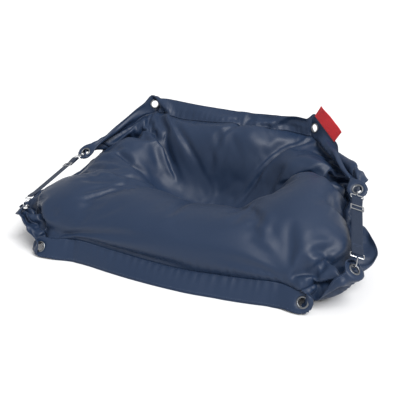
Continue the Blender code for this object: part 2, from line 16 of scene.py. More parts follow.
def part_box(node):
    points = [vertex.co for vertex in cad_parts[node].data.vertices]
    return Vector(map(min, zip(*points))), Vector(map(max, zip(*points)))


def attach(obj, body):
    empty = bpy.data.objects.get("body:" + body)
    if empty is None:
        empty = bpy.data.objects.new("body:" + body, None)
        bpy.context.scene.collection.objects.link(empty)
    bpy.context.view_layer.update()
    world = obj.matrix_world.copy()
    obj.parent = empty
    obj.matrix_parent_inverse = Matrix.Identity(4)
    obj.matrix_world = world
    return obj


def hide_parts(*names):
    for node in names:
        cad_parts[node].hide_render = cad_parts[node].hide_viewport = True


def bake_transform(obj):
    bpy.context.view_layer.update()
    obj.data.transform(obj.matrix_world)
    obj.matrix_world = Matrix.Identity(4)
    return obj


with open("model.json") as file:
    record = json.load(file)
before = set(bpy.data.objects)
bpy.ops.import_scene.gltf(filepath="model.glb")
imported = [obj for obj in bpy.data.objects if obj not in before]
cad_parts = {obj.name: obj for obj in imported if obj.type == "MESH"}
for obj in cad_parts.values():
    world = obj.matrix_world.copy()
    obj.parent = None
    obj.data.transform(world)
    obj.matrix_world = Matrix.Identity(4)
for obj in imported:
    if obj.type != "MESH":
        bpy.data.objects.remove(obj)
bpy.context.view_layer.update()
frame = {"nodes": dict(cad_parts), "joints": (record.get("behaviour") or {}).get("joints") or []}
scene = bpy.context.scene

# ---- the flat cover ---------------------------------------------------------------------------------
FLAT_WIDTH = 1.90
FLAT_DEPTH = 1.40
HEM_WIDTH = 0.10
FLAT_FRONT_Y = -0.52        # where the flat cover's front edge starts, before it is filled
START_HEIGHT = 0.03
BEAD_VOLUME = 0.345         # cubic metres
EYELET_INSET = 0.05         # from the hem's edges to an eyelet's centre
FREE_EYELET_FROM_CORNER = 0.42
TIP_FROM_CORNER = 0.45

# the frame's own values for how each hem corner and tip is turned, from part.py
FRONT_CORNER_WAY = Vector((-0.58, 0.545, 0.61))
BACK_CORNER_WAY = Vector((-0.222, -0.737, -0.64))
FRONT_EDGE_WAY = Vector((0.0, -0.507, -0.862))
RIGHT_TIP = Vector((0.415, 0.410, 0.585))
RIGHT_TIP_EDGE = Vector((0.689, -0.4905, -0.5315))
RIGHT_TIP_ACROSS = Vector((0.5305, -0.2224, 0.8096))
LEFT_TIP = Vector((-0.500, 0.405, 0.625))
LEFT_TIP_EDGE = Vector((-0.480, -0.500, -0.720))
LEFT_TIP_ACROSS = Vector((-0.304, -0.200, 0.931))
LABEL_LENGTH = 0.185

# ---- simulation -------------------------------------------------------------------------------------
FRAMES = 110
SETTLE_FRAMES = 14
SEAT_PRESS = ((0.0, 0.06), (0.35, 0.15, 0.22), 0.36)   # centre in plan, half sizes, final height


# ---- small helpers ----------------------------------------------------------------------------------
def add_object(name, mesh):
    obj = bpy.data.objects.new(name, mesh)
    scene.collection.objects.link(obj)
    return obj


def delete_object(obj):
    bpy.data.objects.remove(obj)


def smooth(mesh):
    mesh.shade_smooth()
    return mesh


def coordinates(mesh):
    co = np.empty(len(mesh.vertices) * 3)
    mesh.vertices.foreach_get("co", co)
    return co.reshape(-1, 3)


def normals(mesh):
    values = np.empty(len(mesh.vertices) * 3)
    mesh.vertices.foreach_get("normal", values)
    return values.reshape(-1, 3)


def evaluated(obj):
    bpy.context.view_layer.update()
    return bpy.data.meshes.new_from_object(obj.evaluated_get(bpy.context.evaluated_depsgraph_get()))


def smoothstep(low, high, value):
    t = np.clip((value - low) / (high - low), 0.0, 1.0)
    return t * t * (3.0 - 2.0 * t)


# ---- where the eyelets hold the cover ---------------------------------------------------------------
def eyelet(name):
    """Centre of the hem's thickness inside an eyelet, and the way the eyelet's face looks."""
    ring = coordinates(frame["nodes"]["eyelet_" + name].data)
    washer = coordinates(frame["nodes"]["washer_" + name].data)
    axis = ring.mean(axis=0) - washer.mean(axis=0)
    axis /= np.linalg.norm(axis)
    middle = ring.mean(axis=0)
    under = (washer @ axis).max() + 0.0019
    middle = middle + axis * (under - middle @ axis)
    return Vector(middle), Vector(axis)


class Patch:
    """A flat bit of the cover that is held rigidly: its flat centre, and where that and its axes go."""

    def __init__(self, flat_centre, origin, x_axis, y_axis, reach):
        self.flat = Vector((flat_centre[0], flat_centre[1], 0.0))
        self.origin = Vector(origin)
        z_axis = x_axis.cross(y_axis).normalized()
        x_axis = x_axis.normalized()
        y_axis = z_axis.cross(x_axis)
        self.turn = Matrix((x_axis, y_axis, z_axis)).transposed()
        self.reach = reach

    def place(self, flat):
        return self.origin + self.turn @ (flat - self.flat)


def corner_patch(name, side, end, way):
    """The square hem corner round a hooked eyelet; its underside faces out, so the flat top faces in."""
    centre, axis = eyelet(name)
    way = way.normalized()
    way = (way - axis * way.dot(axis)).normalized()
    flat_way = Vector((side, end, 0.0)).normalized()
    flat_side = Vector((0.0, 0.0, 1.0)).cross(flat_way)
    top = -axis
    across = top.cross(way)
    x_axis = way * flat_way.x + across * flat_side.x
    y_axis = way * flat_way.y + across * flat_side.y
    edge_y = FLAT_FRONT_Y if end < 0 else FLAT_FRONT_Y + FLAT_DEPTH
    flat = (side * (FLAT_WIDTH / 2 - EYELET_INSET), edge_y - end * EYELET_INSET)
    return Patch(flat, centre, x_axis, y_axis, 0.03)


def patches():
    back_y = FLAT_FRONT_Y + FLAT_DEPTH
    found = {}
    for side, sign in (("left", -1), ("right", 1)):
        front_way = Vector((FRONT_CORNER_WAY.x * sign, FRONT_CORNER_WAY.y, FRONT_CORNER_WAY.z))
        back_way = Vector((BACK_CORNER_WAY.x * sign, BACK_CORNER_WAY.y, BACK_CORNER_WAY.z))
        found["front_%s_corner" % side] = corner_patch("front_%s_corner" % side, sign, -1, front_way)
        found["back_%s_corner" % side] = corner_patch("back_%s_corner" % side, sign, 1, back_way)
        centre, _ = eyelet("front_%s_free" % side)
        flat = (sign * (FLAT_WIDTH / 2 - FREE_EYELET_FROM_CORNER), FLAT_FRONT_Y + EYELET_INSET)
        found["front_%s_free" % side] = Patch(flat, centre, Vector((1, 0, 0)), -FRONT_EDGE_WAY, 0.03)
    tip_x = FLAT_WIDTH / 2 - TIP_FROM_CORNER
    found["back_right_free"] = Patch((tip_x, back_y), RIGHT_TIP, RIGHT_TIP_EDGE, RIGHT_TIP_ACROSS, 0.0)
    found["back_left_free"] = Patch((-tip_x, back_y), LEFT_TIP, -LEFT_TIP_EDGE, LEFT_TIP_ACROSS, 0.0)
    return found


def held_by(name, patch, flat):
    """The flat points that a patch holds, as a mask."""
    offset = flat[:, :2] - np.array(patch.flat[:2])
    if name == "back_right_free":
        edge = (offset[:, 0] > -0.005) & (offset[:, 0] < LABEL_LENGTH) & (offset[:, 1] > -0.02)
        hole = np.hypot(offset[:, 0] - 0.037, offset[:, 1] + EYELET_INSET) < 0.03
        return edge | hole
    if name == "back_left_free":
        edge = (offset[:, 0] < 0.005) & (offset[:, 0] > -0.075) & (offset[:, 1] > -0.02)
        hole = np.hypot(offset[:, 0] + 0.037, offset[:, 1] + EYELET_INSET) < 0.03
        return edge | hole
    return np.hypot(offset[:, 0], offset[:, 1]) < patch.reach


# ---- the cover's grid -------------------------------------------------------------------------------
class Cover:
    """Top grid over the whole flat cover, and a bottom grid inside the seam that shares the seam."""

    def __init__(self, hem_cells, cells_x, cells_y):
        half = FLAT_WIDTH / 2
        hem = np.linspace(0.0, HEM_WIDTH, hem_cells + 1)
        middle_x = np.linspace(-half + HEM_WIDTH, half - HEM_WIDTH, cells_x + 1)
        middle_y = np.linspace(HEM_WIDTH, FLAT_DEPTH - HEM_WIDTH, cells_y + 1)
        self.cells = (hem_cells, cells_x, cells_y)
        self.xs = np.concatenate([hem[:-1] - half, middle_x, half - hem[-2::-1]])
        self.ys = np.concatenate([hem[:-1], middle_y, FLAT_DEPTH - hem[-2::-1]]) + FLAT_FRONT_Y
        nx, ny = len(self.xs), len(self.ys)
        self.inner = (slice(hem_cells, ny - hem_cells), slice(hem_cells, nx - hem_cells))
        self.top = np.arange(nx * ny).reshape(ny, nx)
        self.bottom = self.top[self.inner].copy()
        count = (self.bottom.shape[0] - 2) * (self.bottom.shape[1] - 2)
        new = np.arange(nx * ny, nx * ny + count)
        self.bottom[1:-1, 1:-1] = new.reshape(self.bottom.shape[0] - 2, -1)
        self.size = nx * ny + count
        gx, gy = np.meshgrid(self.xs, self.ys)
        self.flat = np.zeros((self.size, 3))
        self.flat[self.top.ravel(), 0] = gx.ravel()
        self.flat[self.top.ravel(), 1] = gy.ravel()
        self.flat[self.bottom.ravel(), 0] = gx[self.inner].ravel()
        self.flat[self.bottom.ravel(), 1] = gy[self.inner].ravel()

    def faces(self, part):
        """Quads of the top panel, the bottom panel or the hem, facing out."""
        grid = self.bottom if part == "bottom" else self.top
        a, b, c, d = grid[:-1, :-1], grid[:-1, 1:], grid[1:, 1:], grid[1:, :-1]
        quads = np.stack([a, b, c, d], axis=-1)
        if part == "bottom":
            return quads[..., ::-1].reshape(-1, 4)
        hem, cells_x, cells_y = self.cells
        inside = np.zeros(quads.shape[:2], bool)
        inside[hem:hem + cells_y, hem:hem + cells_x] = True
        return quads[inside if part == "top" else ~inside]

    def finer(self, co):
        """A cover with cells half as large, and these points spread over it."""
        hem, cells_x, cells_y = self.cells
        fine = Cover(hem * 2, cells_x * 2, cells_y * 2)
        out = np.zeros((fine.size, 3))
        for grid, fine_grid in ((self.top, fine.top), (self.bottom, fine.bottom)):
            out[fine_grid.ravel()] = doubled(co[grid]).reshape(-1, 3)
        return fine, out


def doubled(grid):
    """Values on a grid with one more row and column between each pair, by cubic midpoints."""
    for _ in range(2):
        padded = np.concatenate([2 * grid[:1] - grid[1:2], grid, 2 * grid[-1:] - grid[-2:-1]])
        between = (9 * (padded[1:-2] + padded[2:-1]) - padded[:-3] - padded[3:]) / 16
        out = np.empty((2 * len(grid) - 1, *grid.shape[1:]))
        out[::2] = grid
        out[1::2] = between
        grid = out.swapaxes(0, 1)
    return grid


def flat_mesh(name, cover, co, faces):
    """These quads of the cover, with each point's place on the flat cover as an attribute."""
    used, index = np.unique(faces, return_inverse=True)
    mesh = bpy.data.meshes.new(name)
    mesh.from_pydata(co[used].tolist(), [], index.reshape(-1, 4).tolist())
    mesh.attributes.new("flat", "FLOAT_VECTOR", "POINT").data.foreach_set("vector", cover.flat[used].ravel())
    mesh.update()
    return mesh


def cover_mesh(name, cover, co, parts=("top", "bottom", "hem")):
    return flat_mesh(name, cover, co, np.concatenate([cover.faces(part) for part in parts]))


def enclosed(cover, co):
    """Volume between the panels."""
    quads = np.concatenate([cover.faces("top"), cover.faces("bottom")])
    a, b, c, d = (co[quads[:, k]] for k in range(4))
    fans = np.einsum("ij,ij->i", a, np.cross(b, c)) + np.einsum("ij,ij->i", a, np.cross(c, d))
    return float(fans.sum() / 6)


# ---- simulation of the filled cover -----------------------------------------------------------------
def add_cloth(obj, start, frames):
    cloth = obj.modifiers.new("cloth", "CLOTH")
    cloth.point_cache.frame_start = 1
    cloth.point_cache.frame_end = frames
    settings = cloth.settings
    settings.quality = 10
    settings.mass = 0.02
    settings.tension_stiffness = 80
    settings.compression_stiffness = 60
    settings.shear_stiffness = 8
    settings.bending_stiffness = 0.4
    settings.tension_damping = 5
    settings.compression_damping = 5
    settings.shear_damping = 5
    settings.bending_damping = 0.5
    settings.air_damping = 1.0
    settings.vertex_group_mass = "pin"
    settings.rest_shape_key = obj.data.shape_keys.key_blocks["flat"]
    settings.use_pressure = True
    settings.use_pressure_volume = True
    settings.uniform_pressure_force = 0
    settings.pressure_factor = 150
    settings.fluid_density = 0.1
    settings.vertex_group_pressure = "filled"
    settings.target_volume = start
    contact = cloth.collision_settings
    contact.distance_min = 0.006
    contact.friction = 15
    contact.use_self_collision = True
    contact.self_distance_min = 0.008
    contact.self_friction = 5
    contact.collision_quality = 3
    return settings


def cloth_object(cover, co, held):
    mesh = cover_mesh("cover_cloth", cover, co)
    obj = add_object("cover_cloth", mesh)
    obj.shape_key_add(name="Basis")
    flat = obj.shape_key_add(name="flat")
    flat.data.foreach_set("co", (cover.flat + np.array((0, 0, 0.02))).ravel())
    filled = obj.vertex_groups.new(name="filled")
    inside = set(cover.bottom.ravel().tolist()) | set(cover.top[cover.inner].ravel().tolist())
    filled.add(sorted(inside), 1.0, "REPLACE")
    pin = obj.vertex_groups.new(name="pin")
    pin.add(sorted({int(k) for ids in held.values() for k in ids}), 1.0, "REPLACE")
    return obj


def collider(obj, thickness, friction):
    obj.modifiers.new("collision", "COLLISION")
    obj.collision.thickness_outer = thickness
    obj.collision.cloth_friction = friction
    return obj


def make_floor_collider():
    bpy.ops.mesh.primitive_plane_add(size=8.0)
    return collider(bpy.context.object, 0.005, 20)


def make_seat_press(final_only, frames):
    (x, y), half, height = SEAT_PRESS
    bpy.ops.mesh.primitive_uv_sphere_add(segments=32, ring_count=20, radius=1.0, location=(x, y, 1.4))
    press = bpy.context.object
    press.data.transform(Matrix.Diagonal((*half, 1.0)))
    collider(press, 0.01, 2)
    if final_only:
        press.location.z = height
        return press
    press.keyframe_insert("location", frame=int(frames * 0.25))
    press.location.z = height
    press.keyframe_insert("location", frame=int(frames * 0.6))
    return press


def lead_patch(obj, name, patch, ids, frames):
    """Carries the held points from the flat cover to their place by a keyframed hook."""
    start = patch.flat + Vector((0, 0, START_HEIGHT))
    guide = bpy.data.objects.new("guide_" + name, None)
    scene.collection.objects.link(guide)
    guide.rotation_mode = "QUATERNION"
    lift = 0.25 if name.startswith("back") or name.endswith("corner") else 0.05
    turn = patch.turn.to_quaternion()
    stages = (
        (1, start, 0.0),
        (int(frames * 0.35), start.lerp(patch.origin, 0.5) + Vector((0, 0, lift)), 0.6),
        (int(frames * 0.62), patch.origin, 1.0),
    )
    for at, place, share in stages:
        guide.location = place
        guide.rotation_quaternion = Matrix.Identity(3).to_quaternion().slerp(turn, share)
        guide.keyframe_insert("location", frame=at)
        guide.keyframe_insert("rotation_quaternion", frame=at)
    group = obj.vertex_groups.new(name="hold_" + name)
    group.add([int(k) for k in ids], 1.0, "REPLACE")
    hook = obj.modifiers.new("hold_" + name, "HOOK")
    hook.object = guide
    hook.vertex_group = group.name
    hook.matrix_inverse = Matrix.Translation(start).inverted()
    return guide


def play(obj, frames):
    scene.frame_start = 1
    scene.frame_end = frames
    for at in range(1, frames + 1):
        scene.frame_set(at)
    mesh = evaluated(obj)
    co = coordinates(mesh)
    bpy.data.meshes.remove(mesh)
    return co


def fill_and_pull(cover, holds, frames):
    """The flat cover fills with beads while its corners and tips go to the frame's places."""
    held = {name: np.nonzero(held_by(name, patch, cover.flat))[0] for name, patch in holds.items()}
    co = cover.flat + np.array((0.0, 0.0, START_HEIGHT))
    u = (cover.xs[cover.inner[1]] + FLAT_WIDTH / 2 - HEM_WIDTH) / (FLAT_WIDTH - 2 * HEM_WIDTH)
    v = (cover.ys[cover.inner[0]] - FLAT_FRONT_Y - HEM_WIDTH) / (FLAT_DEPTH - 2 * HEM_WIDTH)
    rise = np.sqrt(np.outer(1 - np.abs(2 * v - 1) ** 3, 1 - np.abs(2 * u - 1) ** 3))
    co[cover.top[cover.inner], 2] += 0.06 * rise
    co[cover.bottom[1:-1, 1:-1], 2] = 0.012
    obj = cloth_object(cover, co, held)
    helpers = [lead_patch(obj, name, patch, held[name], frames) for name, patch in holds.items()]
    start = enclosed(cover, co)
    settings = add_cloth(obj, start, frames)
    settings.keyframe_insert("target_volume", frame=1)
    settings.target_volume = BEAD_VOLUME
    settings.keyframe_insert("target_volume", frame=int(frames * 0.35))
    helpers += [make_floor_collider(), make_seat_press(False, frames)]
    out = play(obj, frames)
    for helper in [obj, *helpers]:
        delete_object(helper)
    return out


def settle(cover, co, holds, frames):
    """A finer cover, already in place, finds its smaller wrinkles."""
    held = {}
    for name, patch in holds.items():
        ids = np.nonzero(held_by(name, patch, cover.flat))[0]
        held[name] = ids
        for k in ids:
            co[k] = patch.place(Vector(cover.flat[k]))
    obj = cloth_object(cover, co, held)
    add_cloth(obj, BEAD_VOLUME, frames)
    helpers = [make_floor_collider(), make_seat_press(True, frames)]
    out = play(obj, frames)
    for helper in [obj, *helpers]:
        delete_object(helper)
    return out


def simulate_cover():
    scene.gravity = (0.0, 0.0, -9.81)
    holds = patches()
    cover = Cover(3, 50, 35)
    co = fill_and_pull(cover, holds, FRAMES)
    cover, co = cover.finer(co)
    return cover, settle(cover, co, holds, SETTLE_FRAMES)


# ---- shaping the filled cover -----------------------------------------------------------------------
EYELET_HOLE_R = 0.0215
RIGID_REACH = 0.042
BLEND_REACH = 0.068
TIP_EYELET = 0.037          # along the edge, from a tip to its eyelet
HEM_THICKNESS = 0.003
FLOOR_GAP = 0.0012
BACK_EDGE_SAG = 0.035
END_SWELL = 0.085
HOOK_ROOM = 0.020
STITCH_ROOM = 0.014


def placed(patch, flat):
    return np.array(patch.origin) + (flat - np.array(patch.flat)) @ np.array(patch.turn).T


def eyelet_spot(name, patch):
    """Flat centre of the eyelet that a patch carries."""
    if not name.startswith("back") or name.endswith("corner"):
        return np.array(patch.flat)
    side = 1.0 if "right" in name else -1.0
    return np.array(patch.flat) + np.array((side * TIP_EYELET, -EYELET_INSET, 0.0))


def softened(cover, co, rounds):
    """Evens out the smallest creases by moving points towards their neighbours."""
    quads = np.concatenate([cover.faces(part) for part in ("top", "bottom", "hem")])
    pairs = np.concatenate([quads[:, [k, (k + 1) % 4]] for k in range(4)])
    pairs = np.unique(np.sort(pairs, axis=1), axis=0)
    count = np.bincount(pairs.ravel(), minlength=cover.size)[:, None]
    for _ in range(rounds):
        total = np.zeros_like(co)
        np.add.at(total, pairs[:, 0], co[pairs[:, 1]])
        np.add.at(total, pairs[:, 1], co[pairs[:, 0]])
        co = co * 0.5 + total / count * 0.5
    return co


def hem_depth(cover):
    """How far each flat point lies inside the outer edge at the front, the back and the sides."""
    x, y = cover.flat[:, 0], cover.flat[:, 1] - FLAT_FRONT_Y
    return y, FLAT_DEPTH - y, FLAT_WIDTH / 2 - np.abs(x)


def lay_front_hem(cover, co):
    """The front hem hangs from its seam to the floor, between the two free eyelets."""
    front, _, _ = hem_depth(cover)
    along = 1.0 - smoothstep(0.46, 0.60, np.abs(cover.flat[:, 0]))
    lift = along * (1.0 - smoothstep(0.10, 0.32, front))
    co = co + lift[:, None] * np.array((0.0, 0.022, 0.022))
    seam = co[cover.top[cover.cells[0]]]
    seam = np.stack([np.interp(cover.flat[:, 0], cover.xs, seam[:, k]) for k in range(3)], axis=1)
    down = np.clip((seam[:, 2] - 0.006) / HEM_WIDTH, 0.1, 0.9)
    reach = np.clip(HEM_WIDTH - front, 0.0, None)
    swell = 0.006 * np.sin(np.clip(reach / HEM_WIDTH, 0, 1) * math.pi)
    band = seam.copy()
    band[:, 1] -= reach * np.sqrt(1 - down ** 2)
    band[:, 2] -= reach * down - swell
    share = (along * (front < HEM_WIDTH))[:, None]
    return co * (1 - share) + band * share


def raise_back_edge(cover, co):
    """Between the two tips the back edge is pulled nearly straight, and the back panel follows it."""
    _, back, _ = hem_depth(cover)
    tip_x = FLAT_WIDTH / 2 - TIP_FROM_CORNER
    share = np.clip((cover.xs + tip_x) / (2 * tip_x), 0.0, 1.0)[:, None]
    target = np.array(LEFT_TIP) * (1 - share) + np.array(RIGHT_TIP) * share
    target[:, 2] -= BACK_EDGE_SAG * np.sqrt(np.sin(math.pi * share[:, 0]))
    inside = smoothstep(0.0, 0.10, tip_x - np.abs(cover.xs))
    shift = (target - co[cover.top[-1]]) * inside[:, None]
    for _ in range(12):
        shift[1:-1] = (shift[:-2] + 2 * shift[1:-1] + shift[2:]) / 4
    moved = np.stack([np.interp(cover.flat[:, 0], cover.xs, shift[:, k]) for k in range(3)], axis=1)
    return co + moved * (1.0 - smoothstep(HEM_WIDTH, 0.48, back))[:, None]


def swell_ends(co):
    """The ends of the bag swell out under the straps, between the hooked corners."""
    x, y, z = co.T
    out = smoothstep(0.42, 0.74, np.abs(x))
    depth = np.clip(1.0 - ((y + 0.16) / 0.20) ** 2, 0.0, 1.0)
    height = np.clip(1.0 - ((z - 0.13) / 0.17) ** 2, 0.0, 1.0)
    moved = co.copy()
    moved[:, 0] += np.sign(x) * END_SWELL * out * depth * height
    return moved


def hold_flat(cover, co, holds):
    """Rigid where an eyelet grips the hem, and along the edge that carries the label."""
    for name, patch in holds.items():
        offset = cover.flat - eyelet_spot(name, patch)
        share = 1.0 - smoothstep(RIGID_REACH, BLEND_REACH, np.hypot(offset[:, 0], offset[:, 1]))
        if name == "back_right_free":
            edge = cover.flat - np.array(patch.flat)
            beyond = np.clip(np.maximum(-edge[:, 0], edge[:, 0] - LABEL_LENGTH), 0.0, None)
            share = np.maximum(share, 1.0 - smoothstep(0.006, 0.05, np.hypot(beyond, edge[:, 1])))
        co = co * (1 - share[:, None]) + placed(patch, cover.flat) * share[:, None]
    return co


def ease_onto_zip(cover, co):
    """The back swells out to the zip that is sewn into it."""
    low, high = (np.array(corner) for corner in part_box("zip_tape"))
    middle = (low + high) / 2
    rise = Vector((0.0, high[1] - low[1], high[2] - low[2])).normalized()
    out = np.array((0.0, rise.z, -rise.y))
    level = middle @ out - 0.0008
    bottom = np.zeros(cover.size, bool)
    bottom[cover.bottom[1:-1, 1:-1].ravel()] = True
    beside = np.clip(np.abs(co[:, 0]) - high[0], 0.0, None)
    above = np.abs((co - middle) @ np.array(rise)) - (high[2] - low[2]) / 2
    share = (1 - smoothstep(0.01, 0.30, beside)) * (1 - smoothstep(0.004, 0.17, above))
    share = share * bottom * (co[:, 1] > 0.1)
    return co + (share * (level - co @ out))[:, None] * out


def rest_on_floor(co):
    height = co[:, 2]
    lowest = height.min()
    lowered = height - (lowest - FLOOR_GAP) * (1.0 - smoothstep(0.02, 0.16, height))
    out = co.copy()
    out[:, 2] = np.maximum(lowered, FLOOR_GAP)
    return out


def surface_normals(name, cover, co, parts):
    mesh = cover_mesh(name, cover, co, parts)
    used = np.unique(np.concatenate([cover.faces(part) for part in parts]))
    found = np.zeros_like(co)
    found[used] = normals(mesh)
    bpy.data.meshes.remove(mesh)
    return found


def pucker(cover, co):
    """Small ripples that the seam's stitches draw into the cloth on both sides of it."""
    front, back, side = hem_depth(cover)
    ends = np.minimum(front, back)
    from_seam = np.abs(np.minimum(ends, side) - HEM_WIDTH)
    along = np.where(ends < side, cover.flat[:, 0], cover.flat[:, 1])
    wander = np.array([noise.noise(Vector((s * 5.0, 3.0, 0.0))) for s in along])
    swell = np.array([noise.noise(Vector((s * 9.0, 9.0, 0.0))) for s in along])
    wave = np.sin(along * 2 * math.pi / 0.034 + wander * 7)
    wave = wave + 0.6 * np.sin(along * 2 * math.pi / 0.021 + swell * 8)
    body = surface_normals("body", cover, co, ("top", "bottom"))
    hem = surface_normals("hem", cover, co, ("hem",))
    in_hem = np.minimum(ends, side) < HEM_WIDTH - 1e-6
    normal = np.where(in_hem[:, None], hem, body)
    rise = from_seam / 0.016 * np.exp(1 - from_seam / 0.016)
    tall = np.where(in_hem, 0.0024, 0.0018) * (0.65 + 0.6 * np.abs(swell))
    return co + normal * (rise * tall * wave)[:, None]


def hook_tree():
    """Nearest-point lookup over the four hooks."""
    points = np.concatenate([coordinates(node.data) for name, node in frame["nodes"].items()
                             if name.endswith("_hook")])
    tree = kdtree.KDTree(len(points))
    for k, point in enumerate(points):
        tree.insert(point, k)
    tree.balance()
    return tree


def clear_of_hooks(cover, co, tree):
    """The filled cover yields inwards where a hook swings close to it."""
    body = np.unique(np.concatenate([cover.faces("top"), cover.faces("bottom")]))
    body = np.setdiff1d(body, cover.faces("hem"))
    for _ in range(4):
        inward = -surface_normals("body", cover, co, ("top", "bottom"))
        gap = np.full(cover.size, 1.0)
        gap[body] = [tree.find(co[k])[2] for k in body]
        give = np.clip(HOOK_ROOM - gap, 0.0, None)
        co = co + inward * give[:, None]
    return co


def shape_cover(cover, co, holds):
    co = softened(cover, co, 2)
    cover, co = cover.finer(co)
    co = lay_front_hem(cover, co)
    co = raise_back_edge(cover, co)
    co = swell_ends(co)
    co = ease_onto_zip(cover, co)
    co = rest_on_floor(co)
    co = pucker(cover, co)
    co = clear_of_hooks(cover, co, hook_tree())
    co = hold_flat(cover, co, holds)
    co[:, 2] = np.maximum(co[:, 2], FLOOR_GAP)
    return cover, co


# ---- materials --------------------------------------------------------------------------------------
class Recipe:
    """A node material with a Principled shader; the methods add nodes and return their outputs."""

    def __init__(self, name, **values):
        self.material = bpy.data.materials.new(name)
        self.material.use_nodes = True
        self.tree = self.material.node_tree
        self.shader = self.tree.nodes["Principled BSDF"]
        for key, value in values.items():
            self.shader.inputs[key.replace("_", " ")].default_value = value

    def node(self, kind, inputs=(), **settings):
        made = self.tree.nodes.new(kind)
        for key, value in settings.items():
            setattr(made, key, value)
        for key, value in dict(inputs).items():
            if isinstance(value, bpy.types.NodeSocket):
                self.tree.links.new(value, made.inputs[key])
            else:
                made.inputs[key].default_value = value
        return made

    def place(self, attribute=None):
        if attribute:
            return self.node("ShaderNodeAttribute", attribute_name=attribute).outputs["Vector"]
        return self.node("ShaderNodeTexCoord").outputs["Object"]

    def noise(self, vector, scale, detail=3.0, roughness=0.5):
        values = {"Vector": vector, "Scale": scale, "Detail": detail, "Roughness": roughness}
        return self.node("ShaderNodeTexNoise", values).outputs["Fac"]

    def math(self, operation, a, b=0.0):
        return self.node("ShaderNodeMath", {0: a, 1: b}, operation=operation).outputs[0]

    def ranged(self, value, low, high, to_low, to_high):
        values = {"Value": value, "From Min": low, "From Max": high, "To Min": to_low, "To Max": to_high}
        return self.node("ShaderNodeMapRange", values).outputs["Result"]

    def mixed(self, factor, a, b):
        made = self.node("ShaderNodeMix", data_type="RGBA")
        sockets = [s for s in made.inputs if s.type == "RGBA"]
        factor_socket = made.inputs[0]
        self.tree.links.new(factor, factor_socket)
        for socket, colour in zip(sockets, (a, b)):
            if isinstance(colour, bpy.types.NodeSocket):
                self.tree.links.new(colour, socket)
            else:
                socket.default_value = (*colour, 1.0)
        return next(s for s in made.outputs if s.type == "RGBA")

    def threads(self, vector, pitch_x, pitch_y):
        """Plain weave: over-and-under threads with these pitches, from 0 to 1."""
        apart = self.node("ShaderNodeSeparateXYZ", {"Vector": vector})
        u = self.math("MULTIPLY", apart.outputs["X"], math.pi / pitch_x)
        v = self.math("MULTIPLY", apart.outputs["Y"], math.pi / pitch_y)
        weave = self.math("MULTIPLY", self.math("SINE", u), self.math("SINE", v))
        return self.math("ABSOLUTE", weave)

    def bump(self, height, distance, strength=1.0, below=None):
        values = {"Height": height, "Distance": distance, "Strength": strength}
        if below is not None:
            values["Normal"] = below
        return self.node("ShaderNodeBump", values).outputs["Normal"]

    def finish(self, colour=None, roughness=None, normal=None):
        for key, value in (("Base Color", colour), ("Roughness", roughness), ("Normal", normal)):
            if value is not None:
                self.tree.links.new(value, self.shader.inputs[key])
        return self.material


def cover_material():
    """Navy polyester with a satin coated face."""
    r = Recipe("navy_coated_polyester", Sheen_Weight=0.05, Sheen_Roughness=0.4, Specular_IOR_Level=0.36)
    at = r.place("flat")
    cloudy = r.noise(at, 2.4, 4.0, 0.6)
    fine = r.noise(at, 55.0, 3.0, 0.6)
    weave = r.threads(at, 0.0011, 0.0011)
    base = r.mixed(cloudy, (0.0080, 0.0205, 0.0520), (0.0130, 0.0290, 0.0680))
    base = r.mixed(r.ranged(weave, 0.0, 1.0, 0.0, 0.35), base, (0.0170, 0.0360, 0.0800))
    rough = r.ranged(r.math("ADD", cloudy, r.math("MULTIPLY", fine, 0.5)), 0.4, 1.1, 0.38, 0.52)
    crinkle = r.bump(r.noise(at, 26.0, 4.0, 0.62), 0.0012, 0.4)
    crinkle = r.bump(r.noise(at, 9.0, 3.0, 0.5), 0.003, 0.35, crinkle)
    return r.finish(base, rough, r.bump(weave, 0.00012, 0.5, crinkle))


def thread_material(name, colour):
    r = Recipe(name, Sheen_Weight=0.3)
    at = r.place()
    strand = r.noise(at, 900.0, 2.0)
    lighter = tuple(min(1.0, c * 1.6) for c in colour)
    rough = r.ranged(strand, 0.3, 0.7, 0.45, 0.65)
    return r.finish(r.mixed(strand, colour, lighter), rough, r.bump(strand, 0.0002))


def webbing_material():
    """Navy polypropylene webbing with a ribbed weave and pale, worn selvedges."""
    r = Recipe("navy_webbing", Sheen_Weight=0.06, Specular_IOR_Level=0.25)
    at = r.place("weave")
    weave = r.threads(at, 0.0016, 0.0024)
    across = r.math("ABSOLUTE", r.node("ShaderNodeSeparateXYZ", {"Vector": at}).outputs["Y"])
    edge = r.ranged(across, 0.0225, 0.0250, 0.0, 0.5)
    base = r.mixed(weave, (0.008, 0.016, 0.036), (0.021, 0.036, 0.070))
    base = r.mixed(edge, base, (0.032, 0.048, 0.085))
    base = r.mixed(r.ranged(r.noise(at, 30.0, 3.0), 0.3, 0.7, 0.0, 0.3), base, (0.010, 0.019, 0.042))
    rough = r.ranged(weave, 0.0, 1.0, 0.70, 0.52)
    return r.finish(base, rough, r.bump(weave, 0.0004, 0.8))


def label_material():
    """Plain woven red tab."""
    r = Recipe("red_woven_label", Sheen_Weight=0.2, Specular_IOR_Level=0.35)
    at = r.place("weave")
    weave = r.threads(at, 0.0009, 0.0013)
    base = r.mixed(weave, (0.52, 0.010, 0.018), (0.78, 0.026, 0.034))
    base = r.mixed(r.ranged(r.noise(at, 40.0, 3.0), 0.35, 0.7, 0.0, 0.35), base, (0.48, 0.016, 0.022))
    return r.finish(base, r.ranged(weave, 0.0, 1.0, 0.66, 0.5), r.bump(weave, 0.0003, 0.7))


